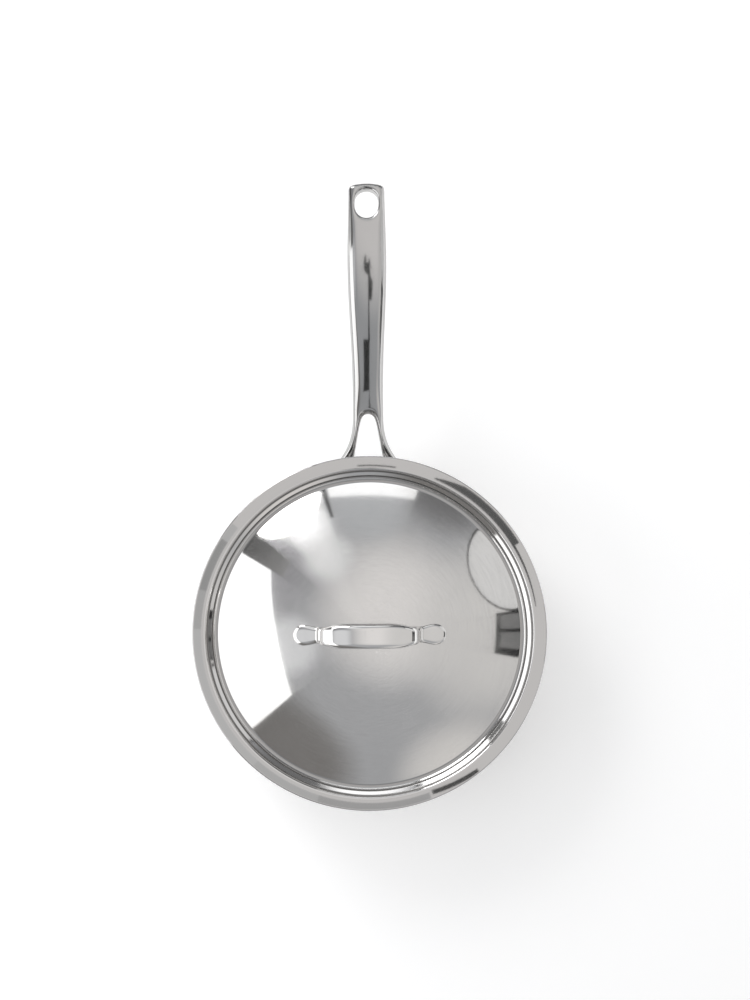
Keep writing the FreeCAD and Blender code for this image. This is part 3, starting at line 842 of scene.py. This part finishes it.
class HandleLine:
    """Shape of the long handle: its middle line seen from the side and its outline seen from above."""

    def __init__(self, handle):
        self.sizes = handle
        self.wall = handle.wall
        self.reach = handle_box[1].y
        self.grip = self.wall + handle.grip_run
        self.near = self.wall + handle.neck_run
        self.far = self.near + handle.neck_length
        self.bend = self.wall + handle.bend_run
        self.crotch = self.wall + handle.fork_length
        self.fork = handle.neck_width / 2 - handle.fork_leg
        self.corner = self.end_line(handle.end_width / 2)

    def end_line(self, across):
        """How far the arched end reaches at a distance from its middle."""
        radius = self.sizes.end_arc
        return self.reach - radius + math.sqrt(radius ** 2 - across ** 2)

    def spine(self, y):
        sizes = self.sizes
        if y <= self.bend:
            return sizes.root_height + (y - self.wall) * math.tan(sizes.rise)
        bend = sizes.root_height + (self.bend - self.wall) * math.tan(sizes.rise)
        radius = (self.reach - self.bend) / (math.sin(sizes.rise) + math.sin(sizes.droop))
        along = self.bend + radius * math.sin(sizes.rise) - y
        return bend - radius * math.cos(sizes.rise) + math.sqrt(radius ** 2 - along ** 2)

    def place(self, across, along, rise):
        lean = ease(along, self.grip, self.reach, 0.0, self.sizes.end_lean)
        return Vector((across, along + lean * rise, self.spine(along) + rise))

    def thick(self, across, along):
        sizes = self.sizes
        if along < self.near:
            return ease(along, self.wall, self.near, sizes.root_thickness, sizes.neck_thickness)
        if along < self.grip:
            return ease(along, self.far, self.grip, sizes.neck_thickness, sizes.grip_thickness)
        return ease(along, self.grip, self.reach, sizes.grip_thickness, sizes.end_thickness)

    def half_width(self, y):
        sizes = self.sizes
        if y < self.grip:
            return ease(y, self.far, self.grip, sizes.neck_width, sizes.grip_width) / 2
        return ease(y, self.grip, self.corner, sizes.grip_width, sizes.end_width) / 2

    def mouth(self, y):
        """Half the fork's opening at a distance from the axis."""
        turn = heading(self.sizes.fork_angle)
        return self.fork / turn[0] + (self.crotch - self.fork - y) * turn[1] / turn[0]

    def rim(self, across, along):
        """Width of the rounded shoulder, narrower round the hanging hole and on the fork's legs."""
        sizes = self.sizes
        if along > self.reach - sizes.end_width:
            edge = sizes.hole_edge
            inside = abs(across) < sizes.end_width / 2 - edge and along < self.corner - edge
            return edge if inside else sizes.end_edge
        if along < self.crotch + sizes.hole_margin:
            return sizes.fork_leg * LEG_EDGE
        return ease(along, self.crotch, self.far, sizes.fork_leg * LEG_EDGE, sizes.shoulder)

    def drop(self, across, along):
        return self.thick(across, along) * HANDLE_DROP

    def crown(self, across, along):
        """Swell of the top between the shoulders."""
        half = self.half_width(along) if along > self.near else self.sizes.neck_width
        swell = ease(along, self.crotch, self.far, 0.0, self.sizes.crown)
        swell *= ease(along, self.grip, self.reach - self.sizes.end_width, 1.0, END_CROWN)
        return swell * max(0.0, 1 - (across / half) ** 2)

    def rows(self):
        """Grid of the handle seen from above and the cells of its fork and hole, which stay open."""
        sizes = self.sizes
        rows = []

        def add(outer, inner, middle):
            left = [(-outer[0], outer[1]), (-inner[0], inner[1])]
            rows.append(left + [(0.0, middle), inner, outer])

        neck = sizes.neck_width / 2
        root = self.wall + sizes.plate_thickness / 2
        spread = handle_box[1].x - sizes.rivet_margin
        inner = self.mouth(root)
        add((spread, math.sqrt(root ** 2 - spread ** 2)), (inner, math.sqrt(root ** 2 - inner ** 2)), root)
        for part, drop in FLARE_STOPS:
            turn = heading(sizes.flare_angle * part)
            outer = neck + sizes.flare * (1 - turn[0]), self.near - sizes.flare * turn[1]
            y = outer[1] + drop
            add(outer, (self.mouth(y), y), y)
        turn = heading(sizes.fork_angle)
        start = self.crotch - self.fork
        add((neck, self.near), (self.fork * turn[0], start + self.fork * turn[1]), self.near)
        turn = heading(math.radians(FORK_SIDE))
        swell = FORK_SWELL * self.fork
        add((neck, self.crotch), (swell * turn[0], start + swell * turn[1]), self.crotch)
        fork_cells = {(row, column) for row in range(len(rows) - 1) for column in INNER_COLUMNS}
        stops = [self.crotch + FORK_CLEAR, self.far]
        stops += [self.far + (self.grip - self.far) * k / 4 for k in (1, 2, 3, 4)]
        near_hole = self.reach - sizes.end_width + sizes.hole_margin - sizes.hole_side
        stops += [self.grip + (near_hole - HOLE_CLEAR - self.grip) * k / 2 for k in (1, 2)]
        for y in stops:
            half = self.half_width(y)
            add((half, y), (half * INNER_SHARE, y), y)
        hole = sizes.end_width / 2 - sizes.hole_margin
        far = self.reach - sizes.hole_margin - hole
        near = far - sizes.hole_side
        wide = HOLE_SWELL * hole
        first = len(rows)
        for degrees, centre in ((-54, near), (-18, near), (18, far), (54, far)):
            turn = heading(math.radians(degrees))
            y = centre + wide * turn[1]
            end = centre + math.copysign(wide, degrees)
            add((self.half_width(y), y), (wide * turn[0], y), end)
        hole_cells = {(row, column) for row in range(first, len(rows) - 1) for column in INNER_COLUMNS}
        end = sizes.end_width / 2
        dip = self.end_line(end * 0.5)
        add((end, self.corner + sizes.tip), (end * 0.5, dip + sizes.tip), self.reach + sizes.tip)
        return rows, fork_cells | hole_cells


class COOKWARE_OT_bowl(bpy.types.Operator):
    """Build the straight-sided bowl with its flared pouring rim"""

    bl_idname = "cookware.bowl"
    bl_label = "Bowl"

    def execute(self, context):
        settings = context.scene.cookware
        bowl = settings.bowl
        low, high = bowl_box
        floor = low.z + bowl.sheet
        bore = high.x - bowl.rim_lip - bowl.rim_flare
        moves = [
            (0, bore - bowl.floor_corner),
            (bowl.floor_corner, math.pi / 2),
            (0, high.z - floor - bowl.floor_corner - bowl.rim_flare),
            (bowl.rim_flare, -math.pi / 2),
            (0, bowl.rim_lip),
        ]
        form = shell((0, floor), 0, moves, bowl.sheet, settings.turns)
        finish = metal("bowl_steel", settings.finish.bowl)
        piece("bowl", form, "pan", ["pan_bowl"], finish)
        return {"FINISHED"}


class COOKWARE_OT_base(bpy.types.Operator):
    """Build the turned steel cap under the base and finish the metal core inside it"""

    bl_idname = "cookware.base"
    bl_label = "Base"

    def execute(self, context):
        settings = context.scene.cookware
        bowl = settings.bowl
        low, high = cap_box
        moves = [
            (0, high.x - bowl.cap_edge),
            (bowl.cap_edge, math.pi / 2),
            (0, high.z - bowl.cap_edge),
        ]
        form = shell((0, low.z), 0, moves, -bowl.cap_sheet, settings.turns)
        finish = metal("base_steel", settings.finish.base)
        piece("base_plate", form, "pan", ["base_cap"], finish)
        refinish("base_core", metal("core_aluminium", settings.finish.core))
        return {"FINISHED"}


class COOKWARE_OT_lid(bpy.types.Operator):
    """Build the stepped and domed lid"""

    bl_idname = "cookware.lid"
    bl_label = "Lid"

    def execute(self, context):
        settings = context.scene.cookware
        lid = settings.lid
        moves = lid_moves(lid) + [(dome(lid)[0], lid.dome_angle)]
        form = shell(lid_start(lid), math.pi / 2, moves, -lid.sheet, settings.turns)
        piece("lid", form, "lid", ["lid_shell"], lid_metal(lid, settings.finish))
        return {"FINISHED"}


class COOKWARE_OT_lid_handle(bpy.types.Operator):
    """Build the arched strap handle with its two fixing tongues and finish the spot welds under them"""

    bl_idname = "cookware.lid_handle"
    bl_label = "Lid handle"

    def execute(self, context):
        settings = context.scene.cookware
        line = GripLine(settings.grip, settings.lid)
        edge = always(settings.grip.bridge_thickness * GRIP_EDGE)
        form = bmesh.new()
        slab(form, line.rows(), set(), line.place, line.thick, edge, line.drop, always(0.0))
        finish = metal("lid_handle_steel", settings.finish.grip)
        piece("lid_grip", form, "lid", ["lid_handle"], finish, rounds=3)
        refinish("lid_handle_welds", metal("weld_steel", settings.finish.weld))
        return {"FINISHED"}


class COOKWARE_OT_long_handle(bpy.types.Operator):
    """Build the forked long handle with its hanging hole and the curved plate that it stands on"""

    bl_idname = "cookware.long_handle"
    bl_label = "Long handle"

    def execute(self, context):
        settings = context.scene.cookware
        handle = settings.handle
        line = HandleLine(handle)
        rows, gone = line.rows()
        form = bmesh.new()
        slab(form, rows, gone, line.place, line.thick, line.rim, line.drop, line.crown)
        self.add_plate(form, handle)
        finish = metal("handle_steel", settings.finish.handle)
        piece("handle", form, "pan", ["long_handle"], finish, rounds=3)
        return {"FINISHED"}

    def add_plate(self, form, handle):
        sheet = handle.plate_thickness
        middle = handle.wall + PLATE_GAP + sheet / 2
        wide = middle * math.asin(handle_box[1].x / middle)

        def place(across, along, rise):
            side = heading(across / middle)
            return Vector(((middle + rise) * side[1], (middle + rise) * side[0], along))

        heights = [handle_box[0].z + handle.plate_height * part for part in PLATE_LEVELS]
        rows = [[(wide * part, height) for part in PLATE_STOPS] for height in heights]
        edge = always(sheet * PLATE_EDGE)
        slab(form, rows, set(), place, always(sheet), edge, always(sheet * PLATE_DROP), always(0.0))


class COOKWARE_OT_rivets(bpy.types.Operator):
    """Build the domed rivet heads outside the plate and inside the bowl"""

    bl_idname = "cookware.rivets"
    bl_label = "Rivets"

    def execute(self, context):
        settings = context.scene.cookware
        handle = settings.handle
        side = handle_box[1].x - handle.rivet_margin
        high = handle_box[0].z + handle.plate_height - handle.rivet_margin
        low = handle_box[0].z + handle.rivet_margin
        face = handle.wall + PLATE_GAP + handle.plate_thickness
        bore = handle.wall - settings.bowl.sheet
        form = bmesh.new()
        for x, z in ((-side, low), (side, low), (0.0, high)):
            outward = Vector((x, math.sqrt(handle.wall ** 2 - x ** 2), 0.0)).normalized()
            for radius, seat, way in ((handle.rivet_outer, face, 1), (handle.rivet_inner, bore, -1)):
                turn = (outward * way).to_track_quat("Z", "Y").to_matrix().to_4x4()
                spot = Matrix.Translation(outward * seat + Vector((0.0, 0.0, z))) @ turn
                turned(form, self.head(radius, handle.rivet_rise), HEAD_TURNS, spot)
        finish = metal("rivet_steel", settings.finish.handle)
        piece("rivet_heads", form, "pan", ["handle_rivets"], finish)
        return {"FINISHED"}

    def head(self, radius, rise):
        """Outline of one low dome, sunk a little into its seat."""
        ball = (radius ** 2 + rise ** 2) / (2 * rise)
        widest = math.asin(radius / ball)
        points = []
        for step in range(HEAD_STEPS + 1):
            turn = heading(widest * step / HEAD_STEPS)
            points.append((ball * turn[1], rise - ball + ball * turn[0]))
        return points + [(radius, -rise * HEAD_SINK), (0.0, -rise * HEAD_SINK)]


# Stage

SENSOR = 36.0
FLOOR_HALF = 30.0
ARC_STEPS = 12
DISC_STEPS = 48
DISC_COMPASS = 23.5
DISC_TILT = 60.5
POST_SHADE = 0.05
SKY = (0.49, 0.50, 0.515)

# Patches of light all round: direction, cosines where each starts and is full, colour
PATCHES = (
    ((0.15, 0.10, 0.98), 0.83, 0.995, (0.96, 0.94, 0.93)),
    ((0.70, -0.05, 0.71), 0.80, 0.99, (0.80, 0.79, 0.78)),
    ((-0.561, -0.623, 0.545), 0.90, 0.995, (0.21, 0.203, 0.197)),
    ((-0.398, -0.749, 0.53), 0.92, 0.995, (0.25, 0.242, 0.236)),
    ((-0.68, 0.40, 0.61), 0.85, 0.98, (0.38, 0.38, 0.40)),
    ((0.441, 0.765, 0.469), 0.92, 0.992, (0.21, 0.21, 0.215)),
    ((0.68, 0.68, 0.20), 0.90, 0.97, (0.08, 0.08, 0.085)),
    ((-0.345, 0.574, 0.743), 0.983, 1.0, (1.26, 1.27, 1.29)),
    ((-0.255, 0.431, 0.866), 0.98, 1.0, (0.94, 0.95, 0.96)),
    ((-0.483, -0.115, 0.868), 0.975, 0.996, (0.84, 0.85, 0.87)),
    ((0.00, 0.70, 0.71), 0.955, 0.995, (0.58, 0.60, 0.62)),
    ((0.445, -0.772, 0.454), 0.925, 1.004, (0.90, 0.88, 0.86)),
    ((-0.10, -0.99, 0.06), 0.90, 0.96, (0.10, 0.10, 0.10)),
    ((0.51, -0.82, 0.20), 0.95, 0.985, (0.08, 0.08, 0.08)),
)

# Upright cards: both ends, foot and top, shade or none for the side light's own, second shade
UPRIGHTS = (
    ("side flag", (-0.503, 0.292), (-0.47, 0.39), (0.1, 0.76), 0.14, {"fade": 0.36}),
    ("window foot", (-0.495, 0.285), (-0.487, 0.313), (0.0, 0.33), None, {}),
    ("low flag", (-0.487, 0.313), (-0.41, 0.56), (0.0, 0.36), 0.14, {"ends": 0.95}),
    ("low reflector", (0.75, -0.45), (0.75, 0.6), (0.03, 0.26), 1.3, {}),
    ("far flag", (-0.35, 0.75), (0.35, 0.75), (0.03, 0.43), 0.12, {}),
)

# Leaning cards: distance, two compass angles, upper and lower tilt, shade
PANES = (
    ("stand", 0.85, (107.9, 109.4), (47, 80), 0.07),
    ("frame", 1.0, (-12.8, 5.3), (50.9, 75), 0.03),
    ("low pane", 0.93, (-9.6, -3.05), (52.8, 75), 0.23),
    ("high pane", 0.93, (-1.65, 4.3), (52.8, 75), 0.23),
)

# Round cards: distance, half angle, shade
DISCS = (
    ("hoop", 0.98, 15.9, 0.02),
    ("reflector", 0.97, 15.1, 0.86),
)

# Posts over the long handle: distance, and outline across and up in thousandths
POSTS = (
    ("low post", 0.1, (
        (2, 118), (0, 118), (3, 160), (-11, 157), (-21, 299), (6, 299), (7, 315), (12, 315),
    )),
    ("high post", 0.2, (
        (3, 117), (1, 117), (3, 227), (6, 394), (-17, 444), (-28, 623), (-36, 1300), (-12, 1300), (-5, 640),
        (12, 640), (20, 900), (32, 900), (26, 623), (17, 394), (24, 330), (13, 227), (6, 227),
    )),
)

# Curved strips: two compass angles, the flange's radii that mirror them at each end, shade
RAIL = (0.1240, 0.1300)
ARCS = (
    ("boom end", (9, 31), (0.1230, 0.1236), (0.1228, 0.1246), 0.14),
    ("boom", (31, 57), (0.1228, 0.1282), (0.1228, 0.1284), 0.165),
    ("boom tip", (57, 67), (0.1228, 0.1282), (0.1229, 0.1240), 0.165),
    ("far rod", (81, 94), (0.1230, 0.1239), (0.1230, 0.1239), 0.10),
    ("clamp", (291, 308), (0.1231, 0.1264), (0.1260, 0.1292), 0.11),
    ("strap start", (141, 147), RAIL, RAIL, 0.76),
    ("strap", (147, 165), RAIL, RAIL, 0.52),
    ("strap end", (165, 178), RAIL, RAIL, 0.67),
    ("side rail", (178, 228), RAIL, RAIL, 0.80),
    ("rail end", (228, 252), RAIL, RAIL, 0.72),
    ("rail", (252, 290), RAIL, RAIL, 0.60),
)


def toward(compass, tilt):
    """Direction at a compass angle and a tilt from straight up."""
    side = heading(math.radians(compass))
    down = heading(math.radians(tilt))
    return Vector((side[0] * down[1], side[1] * down[1], down[0]))


def over_rim(point):
    return point + Vector((0, 0, bowl_box[1].z))


def stage_sheet(name, points, paint):
    """A flat object with a new material of a given name, and that material's nodes without a shader."""
    mesh = bpy.data.meshes.new(name)
    mesh.from_pydata(points, [], [list(range(len(points)))])
    made = bpy.data.materials.new(paint)
    made.use_nodes = True
    made.node_tree.nodes.remove(made.node_tree.nodes["Principled BSDF"])
    mesh.materials.append(made)
    return shown(name, mesh), made.node_tree


def upright(first, last, heights):
    """Corners of a card that stands between two points, from its foot to its top."""
    foot, top = heights
    return [(*first, foot), (*last, foot), (*last, top), (*first, top)]


def pane(away, turns, tilts):
    """Corners of a card between two compass angles and two tilts."""
    corners = zip(turns + turns[::-1], (tilts[0], tilts[0], tilts[1], tilts[1]))
    return [over_rim(toward(*corner) * away) for corner in corners]


def disc(away, half):
    """Points round a disc of a given half angle that faces the pan."""
    middle = toward(DISC_COMPASS, DISC_TILT)
    turn = middle.to_track_quat("Z", "Y")
    wide = away * math.tan(math.radians(half))
    points = []
    for step in range(DISC_STEPS):
        side = heading(2 * math.pi * step / DISC_STEPS)
        points.append(over_rim(middle * away + turn @ Vector((wide * side[0], wide * side[1], 0.0))))
    return points


def arc(stage, fall, turns, first, last):
    """Curved strip level with the camera that the flange mirrors between two radii at each end."""
    lean = stage.height * math.tan(2 * fall)
    points = []
    for side, way in ((0, 1), (1, -1)):
        for step in range(ARC_STEPS + 1)[::way]:
            part = step / ARC_STEPS
            turn = heading(math.radians(turns[0] + (turns[1] - turns[0]) * part))
            radius = 2 * (first[side] + (last[side] - first[side]) * part) - lean
            spot = radius * turn[0] - stage.across, radius * turn[1] - stage.along
            points.append((*spot, bowl_box[1].z + stage.height))
    return points


class COOKWARE_OT_stage(bpy.types.Operator):
    """Set the pale floor, the soft lights and the camera that looks straight down"""

    bl_idname = "cookware.stage"
    bl_label = "Stage"

    def execute(self, context):
        scene = context.scene
        settings = scene.cookware
        stage = settings.stage
        scene.view_settings.view_transform = "Standard"
        self.add_floor(settings.finish.floor, stage.glow)
        self.add_room(scene, stage.room)
        window = {"compass": 191.5, "away": stage.near, "sides": (-0.885, 0.56), "heights": (0.3, 1.437)}
        self.add_lamp("side window", stage.window, **window)
        panel = {"compass": 88, "away": 1.2, "sides": (-0.325, 0.346), "heights": (0.1, 0.86)}
        self.add_lamp("far panel", stage.panel, **panel)
        self.add_softbox(stage.softbox, compass=125.5, tilt=60.3, away=2.0, half=13.8)
        self.add_cards(stage, settings.lid.fall)
        self.add_camera(scene, stage)
        return {"FINISHED"}

    def add_floor(self, tint, lift):
        corners = ((-1, -1), (1, -1), (1, 1), (-1, 1))
        points = [(x * FLOOR_HALF, y * FLOOR_HALF, 0.0) for x, y in corners]
        floor, tree = stage_sheet("floor", points, "floor_paint")
        path = tree.nodes.new("ShaderNodeLightPath").outputs
        seen = sums(tree, "MAXIMUM", path["Is Camera Ray"], path["Is Glossy Ray"])
        seen = sums(tree, "MAXIMUM", seen, path["Is Transmission Ray"])
        strength = sums(tree, "MULTIPLY", seen, lift)
        paint = put(tree, "ShaderNodeBsdfDiffuse", Color=(*tint, 1.0))
        glow = put(tree, "ShaderNodeEmission", Color=(*tint, 1.0), Strength=strength)
        both = put(tree, "ShaderNodeAddShader", i0=paint.outputs[0], i1=glow.outputs[0])
        tree.links.new(both.outputs[0], tree.nodes["Material Output"].inputs["Surface"])

    def add_room(self, scene, strength):
        """Soft light from all round: a pale ceiling and walls with lighter and darker sides."""
        world = bpy.data.worlds.new("soft room")
        world.use_nodes = True
        scene.world = world
        tree = world.node_tree
        here = tree.nodes.new("ShaderNodeTexCoord").outputs["Generated"]
        tint = SKY
        for middle, start, full, patch in PATCHES:
            near = arrows(tree, "DOT_PRODUCT", here, middle)
            tint = blended(tree, ramp(tree, near, start, full, blend="SMOOTHSTEP"), tint, patch)
        sky = tree.nodes["Background"]
        tree.links.new(tint, sky.inputs["Color"])
        sky.inputs["Strength"].default_value = strength

    def add_lamp(self, name, brightness, compass, away, sides, heights):
        """Upright soft panel at a compass angle; its sides and heights are shares of its distance."""
        out = heading(math.radians(compass))
        run = -out[1], out[0]
        width = (sides[1] - sides[0]) * away
        height = (heights[1] - heights[0]) * away
        slide = (sides[0] + sides[1]) / 2
        spot = Vector((out[0] + run[0] * slide, out[1] + run[1] * slide, sum(heights) / 2)) * away
        lamp = bpy.data.lights.new(name, "AREA")
        lamp.shape = "RECTANGLE"
        lamp.size = width
        lamp.size_y = height
        lamp.energy = math.pi * width * height * brightness
        self.hang(lamp, spot, Vector((-out[0], -out[1], 0.0)))

    def add_softbox(self, brightness, compass, tilt, away, half):
        """Round soft light of a given half angle, aimed at the pan."""
        middle = toward(compass, tilt)
        lamp = bpy.data.lights.new("round softbox", "AREA")
        lamp.shape = "DISK"
        lamp.size = 2 * away * math.tan(math.radians(half))
        lamp.energy = math.pi * math.pi * lamp.size ** 2 / 4 * brightness
        self.hang(lamp, over_rim(middle * away), -middle)

    def hang(self, lamp, spot, aim):
        made = shown(lamp.name, lamp)
        made.location = spot
        made.rotation_mode = "QUATERNION"
        made.rotation_quaternion = aim.to_track_quat("-Z", "Y")
        made.visible_camera = False

    def add_cards(self, stage, fall):
        """Plain cards that are only seen mirrored in the polished metal."""
        for name, first, last, heights, shade, second in UPRIGHTS:
            shade = stage.window if shade is None else shade
            self.add_card(name, upright(first, last, heights), shade, **second)
        for name, away, turns, tilts, shade in PANES:
            self.add_card(name, pane(away, turns, tilts), shade)
        for name, away, half, shade in DISCS:
            self.add_card(name, disc(away, half), shade)
        for name, away, outline in POSTS:
            points = [(x / 1000, away, z / 1000) for x, z in outline]
            self.add_card(name, points, POST_SHADE, one_sided=True)
        for name, turns, first, last, shade in ARCS:
            self.add_card(name, arc(stage, fall, turns, first, last), shade)

    def add_card(self, name, points, shade, fade=None, ends=None, one_sided=False):
        """Card of one shade; it may fade to another upward or at its ends, or have a clear back."""
        card, tree = stage_sheet(name, points, name)
        surface = put(tree, "ShaderNodeEmission", Color=(shade, shade, shade, 1.0))
        here = tree.nodes.new("ShaderNodeTexCoord").outputs["Generated"]
        split = put(tree, "ShaderNodeSeparateXYZ", Vector=here).outputs
        if fade:
            tree.links.new(ramp(tree, split["Z"], 0.5, 1.0, shade, fade), surface.inputs["Color"])
        if ends:
            away = sums(tree, "ABSOLUTE", sums(tree, "SUBTRACT", split["Y"], 0.5))
            tree.links.new(ramp(tree, away, 0.15, 0.5, shade, ends), surface.inputs["Color"])
        if one_sided:
            back = tree.nodes.new("ShaderNodeNewGeometry").outputs["Backfacing"]
            clear = put(tree, "ShaderNodeBsdfTransparent").outputs[0]
            surface = put(tree, "ShaderNodeMixShader", i0=back, i1=surface.outputs[0], i2=clear)
        tree.links.new(surface.outputs[0], tree.nodes["Material Output"].inputs["Surface"])
        card.visible_camera = False
        card.visible_shadow = False
        card.visible_diffuse = False

    def add_camera(self, scene, stage):
        lens = bpy.data.cameras.new("overhead")
        lens.sensor_width = SENSOR
        lens.lens = SENSOR * stage.height / stage.view
        camera = shown("overhead", lens)
        spot = Matrix.Rotation(-stage.roll, 3, "Z") @ Vector((stage.across, stage.along, 0.0))
        camera.location = spot + Vector((0, 0, bowl_box[1].z + stage.height))
        camera.rotation_euler = (0.0, 0.0, -stage.roll)
        scene.camera = camera


class COOKWARE_PT_panel(bpy.types.Panel):
    """Sidebar panel that lists the steps of the build"""

    bl_idname = "COOKWARE_PT_panel"
    bl_label = "Covered saute pan"
    bl_space_type = "VIEW_3D"
    bl_region_type = "UI"
    bl_category = "Cookware"

    def draw(self, context):
        for step in STEPS:
            self.layout.operator(step.bl_idname)


SETTINGS = (
    CookwareBowl,
    CookwareLid,
    CookwareGrip,
    CookwareHandle,
    CookwareFinish,
    CookwareStage,
    CookwareSettings,
)
STEPS = (
    COOKWARE_OT_bowl,
    COOKWARE_OT_base,
    COOKWARE_OT_lid,
    COOKWARE_OT_lid_handle,
    COOKWARE_OT_long_handle,
    COOKWARE_OT_rivets,
    COOKWARE_OT_stage,
)


def register():
    for kind in SETTINGS + STEPS + (COOKWARE_PT_panel,):
        bpy.utils.register_class(kind)
    bpy.types.Scene.cookware = PointerProperty(type=CookwareSettings)


def unregister():
    del bpy.types.Scene.cookware
    for kind in reversed(SETTINGS + STEPS + (COOKWARE_PT_panel,)):
        bpy.utils.unregister_class(kind)


def main():
    register()
    make_groups()
    bpy.ops.cookware.bowl()
    bpy.ops.cookware.base()
    bpy.ops.cookware.lid()
    bpy.ops.cookware.lid_handle()
    bpy.ops.cookware.long_handle()
    bpy.ops.cookware.rivets()
    bpy.ops.cookware.stage()


if __name__ == "__main__":
    main()
